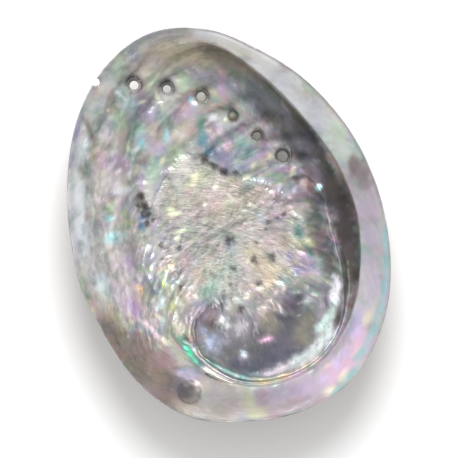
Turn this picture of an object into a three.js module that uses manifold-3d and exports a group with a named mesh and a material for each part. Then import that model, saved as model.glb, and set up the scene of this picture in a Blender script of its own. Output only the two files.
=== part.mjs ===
// Abalone shell lying on its back, opening up. Millimetres, +Z up.
// The origin is on the surface that the shell rests on, under the middle of its outline's box.
// +Y points to the growing (front) end, -Y to the spire end, +X to the shelf (inner lip)
// and -X to the thin outer lip. The shell is one piece: a thick-walled asymmetric bowl
// with a row of breathing pores along its keel.
import * as THREE from "three";
import Module from "manifold-3d";
import { mergeVertices } from "three/addons/utils/BufferGeometryUtils.js";

// ---- Driving dimensions -------------------------------------------------------------

// The shell is drawn on twelve headings, 30 degrees apart, counted anticlockwise from +X
// as seen from above. Each list runs from +X through +Y (front), -X and -Y (spire end).
const MARGIN_RADIUS = [57.9, 60.1, 67.8, 77.4, 69.1, 59.2, 57.7, 62.7, 71.0, 73.2, 70.2, 61.7];
const LIP_RADIUS = [47.6, 49.3, 60.0, 75.0, 62.0, 52.0, 50.0, 53.0, 51.5, 59.0, 56.0, 50.6];
const KEEL_RADIUS = [36.6, 35.0, 41.0, 50.0, 43.0, 35.0, 33.0, 37.0, 46.5, 57.2, 52.7, 43.0];
const LIP_HEIGHT = [31.6, 32.4, 35.4, 38.4, 33.4, 30.8, 29.8, 30.0, 25.0, 29.8, 30.6, 30.8];
const KEEL_HEIGHT = [14.0, 13.0, 14.6, 17.5, 17.0, 14.5, 13.6, 15.0, 20.0, 27.2, 21.4, 16.0];
// 1 where the margin turns in as a flat shelf, 0 where it is a plain outer lip.
const SHELF = [1, 1, 1, 0.3, 0, 0, 0, 0, 0.5, 1, 1, 1];

const MARGIN_HEIGHT = 38.6; // mean height of the margin
const MARGIN_SWAY = 1.2; // the two ends stand this much higher than the mean, the sides lower
const FLOOR_HEIGHT = 6.6; // inner floor at the middle
const DEEP_HEADING = 300; // the floor falls away on this heading
const DEEP_DROP = 1.2;
const UNDERCUT = 2.4; // how far the wall runs back under the shelf's inner edge
const WALL_THICKNESS = 4.6;
const WORN_FLAT = 0.9; // the middle of the back would reach this much lower, and is worn flat instead

// Everything below is placed from the hub, the point where the twelve headings meet.

// Cavity of the earlier whorls, beside the spire end of the floor.
const CAVITY = { x: -4, y: -39, length: 21, width: 14, depth: 2.4 };

// The shell coils around its apex. Every line on the back that belongs to the coil is a
// logarithmic spiral, and turnGrowth is how many times it widens in one turn.
const APEX = { x: -15, y: -33, turnGrowth: 14 };
// Rib along the pore row, which runs on around the spire. phase places it among the spirals.
const KEEL_RIB = { phase: 1.47, height: 1.5, reach: 4.5, fullAt: 60 };
// Groove where a whorl meets the one before it. It fades out past the spire.
const SEAM = { phase: 1.72, depth: 1.6, reach: 0.15, least: 2, fade: 34 };
const SPIRE_DOME = { rise: 2.6, reach: 17 };

// Breathing pores, from the newest at the front to the oldest. The fourth has grown shut.
const PORES = [
  { x: -12.7, y: 61.8, radius: 1.9 },
  { x: -1.8, y: 56.3, radius: 1.7 },
  { x: 9.1, y: 49.2, radius: 1.8 },
  { x: 23.3, y: 28.1, radius: 1.6 },
  { x: 29.5, y: 17.6, radius: 2.1 },
];
const SHUT_PORE = { x: 17.4, y: 38.0 };
const NOTCH = { x: -25.2, y: 69.6, radius: 1.9 }; // the next pore, still open to the margin
const PORE_RIM = { reach: 4.2, height: 0.9, funnel: 0.45 }; // raised collar outside, funnel inside

// Mesh density
const HEADINGS = 76;
const INNER_ROWS = 34;
const OUTER_ROWS = 26;
const PORE_SIDES = 20;

// ---- Helpers ------------------------------------------------------------------------

const mix = (a, b, t) => a + (b - a) * t;
const bell = (d, reach) => Math.exp(-(d * d) / (reach * reach));

// Smooth cyclic curve through a list with one value for each heading.
function around(list, turn) {
  const place = turn * list.length;
  const whole = Math.floor(place);
  const f = place - whole;
  const at = (k) => list[(whole + k + 2 * list.length) % list.length];
  const [a, b, c, d] = [at(-1), at(0), at(1), at(2)];
  return b + 0.5 * f * (c - a + f * (2 * a - 5 * b + 4 * c - d + f * (3 * (b - c) + d - a)));
}

// Point at t, from 0 to 1, on a uniform cubic B-spline that starts and ends on its end points.
function alongSpline(points, t) {
  const p = [points[0], points[0], ...points, points.at(-1), points.at(-1)];
  const spans = p.length - 3;
  const place = Math.min(t * spans, spans - 1e-9);
  const i = Math.floor(place);
  const f = place - i;
  const weights = [
    (1 - f) ** 3 / 6,
    (3 * f ** 3 - 6 * f ** 2 + 4) / 6,
    (-3 * f ** 3 + 3 * f ** 2 + 3 * f + 1) / 6,
    f ** 3 / 6,
  ];
  return [0, 1].map((axis) => weights.reduce((sum, w, k) => sum + w * p[i + k][axis], 0));
}

// ---- Sections of the bowl -----------------------------------------------------------

// What the section on one heading is drawn from. turn is the heading as a share of a full turn.
function section(turn) {
  const angle = turn * 2 * Math.PI;
  const deep = Math.cos(angle - THREE.MathUtils.degToRad(DEEP_HEADING));
  return {
    margin: around(MARGIN_RADIUS, turn),
    marginZ: MARGIN_HEIGHT - MARGIN_SWAY * Math.cos(2 * angle),
    lip: around(LIP_RADIUS, turn),
    lipZ: around(LIP_HEIGHT, turn),
    keel: around(KEEL_RADIUS, turn),
    keelZ: around(KEEL_HEIGHT, turn),
    shelf: Math.min(1, Math.max(0, around(SHELF, turn))),
    floorZ: FLOOR_HEIGHT - DEEP_DROP * deep,
  };
}

// Inside of the wall as [radius, height], from the middle of the floor out to the margin.
function innerOutline(s) {
  const rise = s.keelZ - s.floorZ;
  const wall = s.lip + UNDERCUT;
  const plain = (out, up) => [mix(s.keel, s.margin, out), mix(s.keelZ, s.marginZ, up)];
  const ledge = (out, up) => [mix(s.lip, s.margin, out), mix(s.lipZ, s.marginZ, up)];
  const either = (bank, turned) => bank.map((value, axis) => mix(value, turned[axis], s.shelf));
  return [
    [0, FLOOR_HEIGHT],
    [0.3 * s.keel, s.floorZ],
    [0.6 * s.keel, s.floorZ + 0.18 * rise],
    [0.84 * s.keel, s.floorZ + 0.56 * rise],
    [s.keel, s.keelZ],
    either(plain(0.2, 0.18), [mix(s.keel, wall, 0.5), mix(s.keelZ, s.lipZ, 0.3)]),
    either(plain(0.38, 0.36), [wall, s.lipZ - 5.0]),
    either(plain(0.52, 0.51), [wall - 0.6, s.lipZ - 2.6]),
    either(plain(0.62, 0.62), [s.lip - 0.3, s.lipZ - 1.6]),
    either(plain(0.71, 0.72), [s.lip + 0.4, s.lipZ + 0.5]),
    either(plain(0.8, 0.815), ledge(0.3, 0.32)),
    either(plain(0.9, 0.91), ledge(0.65, 0.66)),
    [s.margin - 1.6, s.marginZ - 0.7],
    [s.margin - 0.5, s.marginZ],
  ];
}

// Back of the wall, from the margin down to the middle.
function outerOutline(s) {
  const footZ = s.keelZ - WALL_THICKNESS;
  const footR = s.keel + 1.8;
  const rise = s.marginZ - 3 - footZ;
  return [
    [s.margin, s.marginZ - 0.8],
    [s.margin, s.marginZ - 2.6],
    [mix(footR, s.margin, 0.87), footZ + mix(0.82, 0.74, s.shelf) * rise],
    [mix(footR, s.margin, 0.57), footZ + mix(0.5, 0.38, s.shelf) * rise],
    [footR, footZ],
    [0.86 * s.keel, 0.5 * footZ],
    [0.58 * s.keel, 0.12 * footZ - WORN_FLAT],
    [0.3 * s.keel, -WORN_FLAT],
    [0, -WORN_FLAT],
  ];
}

// ---- Relief -------------------------------------------------------------------------

const poresAndScar = [...PORES, SHUT_PORE];

function nearPores(x, y) {
  return poresAndScar.reduce((sum, p) => sum + bell(Math.hypot(x - p.x, y - p.y), PORE_RIM.reach), 0);
}

// Negative deepens the inside.
function innerRelief(x, y) {
  const away = Math.hypot((x - CAVITY.x) / CAVITY.length, (y - CAVITY.y) / CAVITY.width);
  return -CAVITY.depth * bell(away, 1) - PORE_RIM.funnel * nearPores(x, y);
}

// How far a point lies from the nearest turn of the spiral with the given phase, and from the apex.
function fromSpiral(x, y, phase) {
  const apart = Math.max(Math.hypot(x - APEX.x, y - APEX.y), 1);
  const turn = Math.atan2(y - APEX.y, x - APEX.x) / (2 * Math.PI);
  const widening = Math.log(APEX.turnGrowth);
  const ahead = Math.log(apart) / widening - turn - phase;
  return { away: (ahead - Math.round(ahead)) * widening * apart, apart };
}

// Negative pushes the back of the shell outwards, which is down.
function outerRelief(x, y) {
  const rib = fromSpiral(x, y, KEEL_RIB.phase);
  const ribHeight = KEEL_RIB.height * Math.min(1, rib.apart / KEEL_RIB.fullAt);
  const seam = fromSpiral(x, y, SEAM.phase);
  const seamReach = SEAM.least + SEAM.reach * seam.apart;
  const seamDepth = SEAM.depth * bell(seam.away, seamReach) * bell(seam.apart, SEAM.fade);
  const dome = SPIRE_DOME.rise * bell(rib.apart, SPIRE_DOME.reach);
  return seamDepth - dome - ribHeight * bell(rib.away, KEEL_RIB.reach) - PORE_RIM.height * nearPores(x, y);
}

// Point on the shell. side is 0 at the middle of the floor, 1 at the margin and 2 at the
// middle of the back.
function shellPoint(turn, side) {
  const s = section(turn);
  const inside = side <= 1;
  const [radius, height] = inside
    ? alongSpline([...innerOutline(s)], side)
    : alongSpline([[s.margin - 0.5, s.marginZ], ...outerOutline(s)], side - 1);
  const angle = turn * 2 * Math.PI;
  const x = radius * Math.cos(angle);
  const y = radius * Math.sin(angle);
  const z = height + (inside ? innerRelief(x, y) : outerRelief(x, y));
  return new THREE.Vector3(x, y, inside ? z : Math.max(z, 0));
}

// ---- Solids -------------------------------------------------------------------------

const wasm = await Module();
wasm.setup();

// Closed manifold solid of a three.js geometry.
function solidOf(geometry) {
  const plain = geometry.clone();
  plain.deleteAttribute("normal");
  plain.deleteAttribute("uv");
  const merged = mergeVertices(plain, 1e-4);
  const kept = [];
  const index = merged.index.array;
  for (let i = 0; i < index.length; i += 3) {
    const [a, b, c] = [index[i], index[i + 1], index[i + 2]];
    if (a !== b && b !== c && a !== c) kept.push(a, b, c);
  }
  return new wasm.Manifold(
    new wasm.Mesh({
      numProp: 3,
      vertProperties: merged.attributes.position.array,
      triVerts: new Uint32Array(kept),
    }),
  );
}

function geometryOf(solid) {
  const mesh = solid.getMesh();
  const geometry = new THREE.BufferGeometry();
  geometry.setAttribute("position", new THREE.BufferAttribute(mesh.vertProperties, 3));
  geometry.setIndex(new THREE.BufferAttribute(mesh.triVerts, 1));
  geometry.computeVertexNormals();
  return geometry;
}

// The bowl: a lathe's grid of headings by rows, with each vertex moved onto the shell.
function bowl() {
  const rows = INNER_ROWS + OUTER_ROWS;
  const profile = [];
  for (let row = 0; row <= rows; row += 1) {
    profile.push(new THREE.Vector2(Math.sin((row / rows) * Math.PI), row));
  }
  const geometry = new THREE.LatheGeometry(profile, HEADINGS);
  const place = geometry.attributes.position;
  for (let i = 0; i < place.count; i += 1) {
    const column = Math.floor(i / (rows + 1)) % HEADINGS;
    const row = i % (rows + 1);
    const side = row <= INNER_ROWS ? row / INNER_ROWS : 1 + (row - INNER_ROWS) / OUTER_ROWS;
    place.setXYZ(i, ...shellPoint(column / HEADINGS, side));
  }
  const solid = solidOf(geometry);
  if (solid.volume() > 0) return solid;
  const index = geometry.index.array;
  for (let i = 0; i < index.length; i += 3) [index[i + 1], index[i + 2]] = [index[i + 2], index[i + 1]];
  return solidOf(geometry);
}

// An upright round cutter that passes right through the wall.
function cutter({ x, y, radius }) {
  const reach = 2 * MARGIN_HEIGHT + 10;
  const drill = new THREE.CylinderGeometry(radius, radius, reach, PORE_SIDES);
  drill.rotateX(Math.PI / 2);
  drill.translate(x, y, MARGIN_HEIGHT);
  return solidOf(drill);
}

let shell = bowl();
for (const hole of [...PORES, NOTCH]) shell = shell.subtract(cutter(hole));
const box = shell.boundingBox();
shell = shell.translate([-(box.min[0] + box.max[0]) / 2, -(box.min[1] + box.max[1]) / 2, 0]);

const nacre = new THREE.MeshStandardMaterial({ color: 0xb9b3ae, roughness: 0.3, metalness: 0.1 });
const abaloneShell = new THREE.Mesh(geometryOf(shell), nacre);
abaloneShell.name = "abalone_shell";

const part = new THREE.Group();
part.add(abaloneShell);

export default part;
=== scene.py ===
# %% [markdown]
# # A polished abalone shell
# A lesson in growing one closed, thick-walled organic form from a ball. The shell lies on its
# back and opens up. Everything is in metres in the part's frame; the shell's own sizes are
# written in millimetres, because that is how a shell is measured, and scaled once.

# %% Frame
import math

import bmesh
import bpy
import numpy as np
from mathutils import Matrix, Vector, noise


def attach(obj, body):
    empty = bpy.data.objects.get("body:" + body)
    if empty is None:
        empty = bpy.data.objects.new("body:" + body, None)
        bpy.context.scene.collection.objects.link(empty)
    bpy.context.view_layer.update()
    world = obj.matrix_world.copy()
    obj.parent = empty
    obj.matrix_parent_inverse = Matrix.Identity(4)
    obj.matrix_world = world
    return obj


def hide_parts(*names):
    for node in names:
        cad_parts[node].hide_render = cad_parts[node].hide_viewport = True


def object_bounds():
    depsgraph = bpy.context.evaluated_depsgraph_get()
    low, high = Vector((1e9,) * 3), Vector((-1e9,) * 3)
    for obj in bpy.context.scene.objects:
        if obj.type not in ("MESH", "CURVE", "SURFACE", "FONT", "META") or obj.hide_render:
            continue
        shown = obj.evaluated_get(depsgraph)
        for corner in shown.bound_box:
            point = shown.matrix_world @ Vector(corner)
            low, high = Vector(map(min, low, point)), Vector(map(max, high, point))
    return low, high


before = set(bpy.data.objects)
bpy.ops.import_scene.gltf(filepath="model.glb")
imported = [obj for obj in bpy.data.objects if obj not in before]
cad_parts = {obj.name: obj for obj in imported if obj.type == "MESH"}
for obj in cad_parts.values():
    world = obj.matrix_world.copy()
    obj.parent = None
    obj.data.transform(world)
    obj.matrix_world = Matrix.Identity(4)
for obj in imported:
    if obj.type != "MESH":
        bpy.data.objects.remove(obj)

cad_low, cad_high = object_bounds()
MM = 0.001
print("the part's box, mm:", [round(v / MM, 2) for v in (*cad_low, *cad_high)])

# %% [markdown]
# ## The rails
# A real shell is the track of a growing edge, so no section of it is a circle. It is drawn on
# headings around a hub, counted anticlockwise from +X (the shelf side) through +Y (the front).
# Three rails say where the section changes: the margin, the lip (inner edge of the shelf) and
# the keel (the foot of the wall, which carries the pores and the raised thread).
# The margin's radii were measured on the photo's outline by a helper program, then scaled to
# millimetres. The other rails were read off the photo, or guessed where they are heights.
# A cyclic cubic joins the stations smoothly.

# %% Rails
MARGIN_RADIUS = [57.9, 58.3, 60.1, 63.4, 67.8, 74.1, 77.4, 74.7, 69.1, 63.3, 59.2, 57.3,
                 57.7, 58.7, 62.5, 67.5, 71.3, 71.8, 73.2, 73.3, 70.2, 65.9, 61.7, 58.9]
LIP_RADIUS = [47.8, 47.9, 49.2, 53.3, 60.2, 69.6, 74.6, 70.0, 62.0, 56.0, 52.0, 50.0,
              49.0, 48.0, 46.0, 44.0, 51.6, 58.4, 60.8, 60.8, 57.6, 53.7, 50.5, 48.9]
KEEL_RADIUS = [38.3, 35.6, 34.2, 35.4, 40.0, 47.0, 53.0, 51.0, 44.0, 39.0, 35.5, 34.0,
               33.5, 34.0, 36.5, 41.5, 49.2, 56.2, 58.8, 58.9, 55.0, 47.6, 41.4, 38.4]
LIP_HEIGHT = [31.6, 31.8, 32.4, 33.6, 35.4, 37.4, 38.4, 36.4, 33.4, 31.8, 30.8, 30.0,
              29.8, 29.8, 29.6, 27.4, 26.4, 28.6, 29.8, 30.4, 30.6, 30.8, 30.8, 31.0]
KEEL_HEIGHT = [14.0, 13.2, 13.0, 13.4, 14.6, 16.2, 17.5, 17.6, 17.0, 15.8, 14.5, 13.8,
               13.6, 14.0, 15.2, 17.6, 21.6, 25.2, 27.2, 25.0, 21.4, 18.2, 16.0, 14.8]
# 1 where the margin turns in as a flat shelf, 0 where it is a plain outer lip
SHELF = [1, 1, 1, 1, 1, 0.85, 0.3, 0, 0, 0, 0, 0, 0, 0, 0, 0.1, 0.7, 1, 1, 1, 1, 1, 1, 1]
# height of the raised thread along the keel
THREAD = [0.8, 0.35, 0, 0, 0, 0, 0, 0, 0, 0, 0, 0, 0, 0, 0, 0, 0.6, 1, 1, 1, 1, 1, 1, 1]
# the margin dips at the sides and rises at both ends, as a shell on its back does
MARGIN_HEIGHT, MARGIN_SWAY = 38.6, 1.2
# the floor is deepest towards the spire's hollow, and steepens towards the keel by this power
FLOOR_HEIGHT, DEEP_HEADING, DEEP_DROP, FLOOR_CURVE = 6.6, 300, 1.2, 3.2
# how far the wall stands back under the lip, how thick the shell is, and the depth worn flat
UNDERCUT, WALL_THICKNESS, WORN_FLAT = 2.6, 4.6, 0.9


def mix(a, b, t):
    return a + (b - a) * t


def bell(distance, reach):
    return np.exp(-((distance / reach) ** 2))


def ramp(value, low, high):
    """0 below low, 1 above high, and smooth between them."""
    t = np.clip((value - low) / (high - low), 0, 1)
    return t * t * (3 - 2 * t)


def around(stations, turn):
    """A smooth closed curve through values at equal headings. turn is a share of a full turn."""
    values = np.asarray(stations, float)
    place = turn * len(values)
    whole = np.floor(place).astype(int)
    f = place - whole
    a, b, c, d = (values[(whole + k) % len(values)] for k in (-1, 0, 1, 2))
    return b + 0.5 * f * (c - a + f * (2 * a - 5 * b + 4 * c - d + f * (3 * (b - c) + d - a)))


# %% [markdown]
# ## The section on one heading
# Inside, the line climbs from the floor to the keel, runs through the gutter behind it, up the
# undercut wall, over the lip and out along the shelf. Where there is no shelf it is a plain bank.
# The back is one fair curve. Both are uniform cubic B-splines, which can't overshoot.


# %% Sections
def sections(turn):
    """Control points as (heading, point, [radius, height]) arrays for the inside and the back."""
    angle = turn * 2 * math.pi
    margin, lip, keel = (around(s, turn) for s in (MARGIN_RADIUS, LIP_RADIUS, KEEL_RADIUS))
    lip_z, keel_z = around(LIP_HEIGHT, turn), around(KEEL_HEIGHT, turn)
    shelf = np.clip(around(SHELF, turn), 0, 1)
    thread = np.clip(around(THREAD, turn), 0, 1)
    margin_z = MARGIN_HEIGHT - MARGIN_SWAY * np.cos(2 * angle)
    floor_z = FLOOR_HEIGHT - DEEP_DROP * np.cos(angle - math.radians(DEEP_HEADING))
    rise = keel_z - floor_z
    gutter = shelf * np.clip(thread + 0.15, 0, 1)
    wall = lip + UNDERCUT * ramp(lip - keel, 1, 6) * ramp(margin - lip, 3, 9)
    narrow = 1 - ramp(lip - keel, 3, 7)

    def floor_at(radius):
        return floor_z + rise * (radius / keel) ** FLOOR_CURVE

    def climb_to(share):
        """Height at a share of the way from the keel up to the lip."""
        return mix(keel_z, lip_z, share)

    inside = [(0 * keel, FLOOR_HEIGHT + 0 * keel)]
    inside += [(share * keel, floor_at(share * keel)) for share in (0.15, 0.3, 0.45, 0.6, 0.72, 0.83)]
    steep = FLOOR_CURVE * rise / keel
    beside = np.minimum(0.9, 0.4 * np.maximum(lip - keel, 1.2))
    inside += [
        (keel - 3.4, floor_at(keel - 3.4)),
        (keel - beside, mix(floor_at(keel - beside), keel_z + 0.1, thread)),
        (keel, keel_z + 1.5 * thread),
        (keel + beside, mix(keel_z + beside * steep, keel_z + 0.2, thread)),
    ]
    turned = [
        (mix(keel, wall, 0.52), mix(climb_to(0.34), keel_z + 0.9 * narrow, gutter)),
        (mix(keel, wall, 0.86), mix(climb_to(0.55), climb_to(0.28 + 0.2 * narrow), gutter)),
        (wall, climb_to(0.62)),
        (wall, climb_to(0.84)),
        (wall - 0.9, lip_z - 1.6),
        (lip - 0.2, lip_z - 0.9),
        (lip + 0.1, lip_z + 0.2),
        (lip + 1.6, lip_z + 0.9),
        (mix(lip, margin, 0.34), mix(lip_z, margin_z, 0.36)),
        (mix(lip, margin, 0.56), mix(lip_z, margin_z, 0.62)),
        (mix(lip, margin, 0.78), mix(lip_z, margin_z, 0.84)),
    ]
    for i, (radius, height) in enumerate(turned):
        out = (i + 1.2) / (len(turned) + 1.6)
        up = out * (0.93 + 0.07 * out) + 0.03 * np.sin(math.pi * out)
        bank = (mix(keel, margin, out), mix(keel_z, margin_z, up))
        inside.append((mix(bank[0], radius, shelf), mix(bank[1], height, shelf)))
    inside += [(margin - 1.2, margin_z - 0.75), (margin - 0.5, margin_z - 0.1)]

    foot_z, foot = keel_z - WALL_THICKNESS, keel + mix(1.8, 5, gutter)
    climb = margin_z - 3 - foot_z
    back = [
        (margin - 0.3, margin_z - 0.1),
        (margin, margin_z - 0.7),
        (margin, margin_z - 2.6),
        (mix(foot, margin, mix(0.87, 0.92, gutter)), foot_z + mix(0.82, 0.74, shelf) * climb),
        (mix(foot, margin, mix(0.57, 0.7, gutter)), foot_z + mix(0.5, 0.38, shelf) * climb),
        (foot, foot_z),
        (0.86 * keel, 0.5 * foot_z),
        (0.58 * keel, 0.12 * foot_z - WORN_FLAT),
        (0.3 * keel, -WORN_FLAT + 0 * keel),
        (0 * keel, -WORN_FLAT + 0 * keel),
    ]
    return [np.stack([np.stack(p, -1) for p in line], 1) for line in (inside, back)]


def along(line, heading, t):
    """Points at t, 0 to 1, on the B-splines of the given headings, starting and ending on their ends."""
    line = np.concatenate([line[:, :1], line[:, :1], line, line[:, -1:], line[:, -1:]], 1)
    spans = line.shape[1] - 3
    place = np.minimum(t * spans, spans - 1e-9)
    i = np.floor(place).astype(int)
    f = place - i
    weights = ((1 - f) ** 3 / 6, (3 * f**3 - 6 * f**2 + 4) / 6,
               (-3 * f**3 + 3 * f**2 + 3 * f + 1) / 6, f**3 / 6)
    return sum(w[:, None] * line[heading, i + k] for k, w in enumerate(weights))


# %% [markdown]
# ## The blank
# A UV sphere is already a closed skin of headings and rows: its north pole becomes the middle of
# the floor, its equator-like seam the margin and its south pole the middle of the back. Moving
# its vertices keeps the skin closed, so the wall's thickness is never in doubt.

# %% Blank
HEADINGS, INNER_ROWS, BACK_ROWS = 424, 134, 88
rows = INNER_ROWS + BACK_ROWS
blank = bmesh.new()
bmesh.ops.create_uvsphere(blank, u_segments=HEADINGS, v_segments=rows, radius=1)
co = np.array([v.co for v in blank.verts])
row = np.rint(np.arccos(np.clip(co[:, 2], -1, 1)) / math.pi * rows).astype(int)
heading = np.rint(np.arctan2(co[:, 1], co[:, 0]) / (2 * math.pi) * HEADINGS).astype(int) % HEADINGS
heading[(row == 0) | (row == rows)] = 0
is_inside = row <= INNER_ROWS
inner_line, back_line = sections(np.arange(HEADINGS) / HEADINGS)
section = np.where(
    is_inside[:, None],
    along(inner_line, heading, np.clip(row / INNER_ROWS, 0, 1)),
    along(back_line, heading, np.clip((row - INNER_ROWS) / BACK_ROWS, 0, 1)),
)
angle = heading / HEADINGS * 2 * math.pi
shape = np.stack([section[:, 0] * np.cos(angle), section[:, 0] * np.sin(angle), section[:, 1]], -1)
print("blank:", len(co), "vertices, spans", shape.min(0).round(1), "to", shape.max(0).round(1), "mm")

# %% [markdown]
# ## Growth lines
# The shell coils around its apex: each earlier margin is today's, shrunk and turned back along a
# logarithmic spiral. Solving for the margin that passes through a point gives two numbers: its
# age, counted in pore spacings, and the place on the margin that laid it down. Ripples, colour
# bands and streaks all follow this pair, as they do in a shell.

# %% Growth coordinates
APEX = np.array((-15.0, -33.0))
TURN_GROWTH = 14.0
PORE_STEP = 0.0215
PORE_PLACE = 95.0

margin_turn = np.linspace(0, 1, 720, endpoint=False)
margin_radius = around(MARGIN_RADIUS, margin_turn)
margin_points = margin_radius[:, None] * np.stack(
    [np.cos(margin_turn * 2 * math.pi), np.sin(margin_turn * 2 * math.pi)], -1)
from_apex = margin_points - APEX
order = np.argsort(np.arctan2(from_apex[:, 1], from_apex[:, 0]))
margin_bearing = np.arctan2(from_apex[:, 1], from_apex[:, 0])[order]
margin_reach = np.hypot(*from_apex.T)[order]


def growth(x, y):
    """Age in pore spacings, and place on the margin in degrees about the apex."""
    reach = np.maximum(np.hypot(x - APEX[0], y - APEX[1]), 1.5)
    bearing = np.arctan2(y - APEX[1], x - APEX[0])
    newest, oldest = np.zeros_like(reach), np.full_like(reach, 1.4)
    for _ in range(24):
        middle = (newest + oldest) / 2
        edge = np.interp(bearing + 2 * math.pi * middle, margin_bearing, margin_reach, period=2 * math.pi)
        within = reach * TURN_GROWTH**middle < edge
        newest, oldest = np.where(within, middle, newest), np.where(within, oldest, middle)
    age = (newest + oldest) / 2
    return age / PORE_STEP, np.degrees(bearing) + 360 * age


def off_line(x, y, points, closed=False):
    """Distance from each place to a line of points, and whether it lies within it when closed."""
    points = np.asarray(points, float)
    ends = np.roll(points, -1, 0) if closed else points[1:]
    nearest, within = np.full_like(x, 1e9), np.zeros(x.shape, bool)
    for (ax, ay), (bx, by) in zip(points, ends):
        dx, dy = bx - ax, by - ay
        t = np.clip(((x - ax) * dx + (y - ay) * dy) / (dx * dx + dy * dy), 0, 1)
        nearest = np.minimum(nearest, np.hypot(x - ax - t * dx, y - ay - t * dy))
        if abs(dy) > 1e-9:
            within ^= ((ay > y) != (by > y)) & (x < dx * (y - ay) / dy + ax)
    return nearest, within


def grain(x, y, size, seed, octaves=3):
    """Soft noise, about -1 to 1, with lumps of the given size in mm."""
    spots = [Vector((a / size, b / size, seed)) for a, b in zip(x, y)]
    return np.array([noise.fractal(spot, 0.8, 2.1, octaves) for spot in spots])


# %% [markdown]
# ## Landmarks
# What the eye finds on the inside: the pores, the scar where the foot muscle held, the spiral
# hollow of the spire with its curled edge, the bright groove that runs into it, and one round
# pit on the rim. Each is a place and a size. The places were read off the photo, and a
# helper program turned most of them into shell millimetres.

# %% Landmarks
PORES = [(-12.7, 61.8, 1.6), (-1.8, 56.3, 1.45), (9.1, 49.2, 1.6), (23.3, 28.1, 1.4), (29.5, 17.6, 1.9)]
SHUT_PORE = (17.4, 38.0, 1.6)
NOTCH = (-25.4, 67.7)
SCAR = [(-2.6, 31.3), (9.7, 19.3), (19, 10.4), (25.5, 0.5), (26.6, -8.4), (22, -20), (16.7, -25.7),
        (4, -26.5), (-9.2, -24.3), (-17.5, -19), (-22.9, -10.5), (-24.5, 3.5), (-23.8, 17.3), (-13, 27.5)]
CURL = [(1, -58.8), (-5, -58.2), (-11.4, -55.6), (-17.8, -51), (-22.8, -45.3), (-25.4, -40.9),
        (-25.8, -36.4), (-25, -31.6), (-23, -28.1), (-19.8, -26.3), (-16.8, -25.1), (-14.3, -25.4),
        (-12, -27.2)]
HOLLOW = CURL + [(-4, -27), (8, -27.5), (20, -27), (29, -33), (27, -42), (22, -49.5), (12.6, -55.8)]
GROOVE = [(-18.6, -54), (-23.6, -49.6), (-27.4, -43.8), (-29.6, -37.9), (-31, -31), (-30.6, -24)]
PIT, BLISTER, RIM_DENT = (-34.0, -51.7), (14.5, -35.5), (-23.6, 66)
# the bristles of the scar fan out from here
FIBRE_CENTRE = (-31.8, -46.0)
# small rounded knobs that catch the light: place, reach and height
KNOBS = [(-31, 28, 2, 0.6), (-26, 33, 1.5, 0.5), (-10, -45, 2, 0.7), (-1, -43, 2.4, 0.6),
         (-12, -31, 1.8, 0.5), (10, 40, 1.8, 0.5), (12, -29, 1.4, 0.45), (-41, 12, 2.2, 0.5),
         (-39, 20, 2, 0.4), (-39, 27, 1.8, 0.5), (-39, -25, 1.8, 0.5), (-31, -17, 1.6, 0.45),
         (-38, -10, 1.4, 0.4), (-4, 22, 1.6, 0.4), (12, 35, 1.8, 0.45), (31, 12, 1.5, 0.4),
         (24, 8, 1.5, 0.4), (25, 19, 1.4, 0.4), (27, -39, 2.2, 0.5), (-20, -36, 1.8, 0.4),
         (-17, 7, 1.6, 0.3)]
# long folds run down the bank below the pores, one between each pair
FOLD_HEADING, FOLD_STEP, FOLD_START = math.radians(-21), 13.3, 39.7
# dark bits left in the scar and round it: place and reach
MARKS = [(-25.2, 22.4, 2), (-25.7, 19, 2.4), (-26.2, 15.7, 1.8), (-26.2, 12.5, 1.6), (2, 27.4, 2),
         (4.4, 23.3, 1.6), (7, 19.9, 1.8), (0.1, -4.3, 2.2), (5.6, -14.7, 1.9), (12.4, -16.5, 1.9),
         (4.5, -23.7, 1.6), (-5, -30, 1.8), (-11.1, -25.3, 1.6), (-18.6, -0.7, 1.6), (-17.2, 1.1, 0.8),
         (-25.3, 2.7, 1.3), (-24.6, 12.7, 1.4), (-26.3, -2.1, 0.8), (-23.5, -14.2, 1.1),
         (-2.5, -15.1, 1.2), (16.1, -3.7, 1.5), (19.4, -3.4, 1.2), (22.3, -3, 1.2), (14.1, -5.7, 0.9),
         (8.7, -9.6, 1), (-5.6, -20.3, 1), (-2.1, -7.8, 0.9)]

# %% [markdown]
# Every mask that follows is a distance to one of those landmarks, roughened with soft noise. A
# mask is 1 inside and 0 outside, and goes smoothly from one to the other over a millimetre or two.

# %% Masks
x, y = shape[:, 0], shape[:, 1]
age, place = growth(x, y)
scar_edge, in_scar = off_line(x, y, SCAR, closed=True)
ragged = grain(x, y, 3.2, 11.0)
scar_depth = np.where(in_scar, scar_edge, -scar_edge) + 2.6 * ragged
on_scar = ramp(scar_depth, -1.2, 1.2)
hollow_edge, in_hollow = off_line(x, y, HOLLOW, closed=True)
hollow_depth = np.where(in_hollow, hollow_edge, -hollow_edge)
from_curl, _ = off_line(x, y, CURL)
from_groove, _ = off_line(x, y, GROOVE)
from_pit = np.hypot(x - PIT[0], y - PIT[1])
lumps = grain(x, y, 7.0, 3.0)
fine = grain(x, y, 2.4, 5.0)
turn = heading / HEADINGS
shelf_here = np.clip(around(SHELF, turn), 0, 1)
lip_here, keel_here, margin_here = (around(s, turn) for s in (LIP_RADIUS, KEEL_RADIUS, MARGIN_RADIUS))
on_shelf = shelf_here * ramp(section[:, 0] - lip_here, -0.6, 1.2) * ramp(section[:, 1] - 20, 0, 5)
from_margin = margin_here - section[:, 0]
knobs = grain(x, y, 4.2, 23.0, 2)
tiny = grain(x, y, 1.1, 31.0, 2)
print("scar:", int((is_inside * on_scar).sum()), "vertices; oldest line:", round(float(age.max()), 1))

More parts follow.
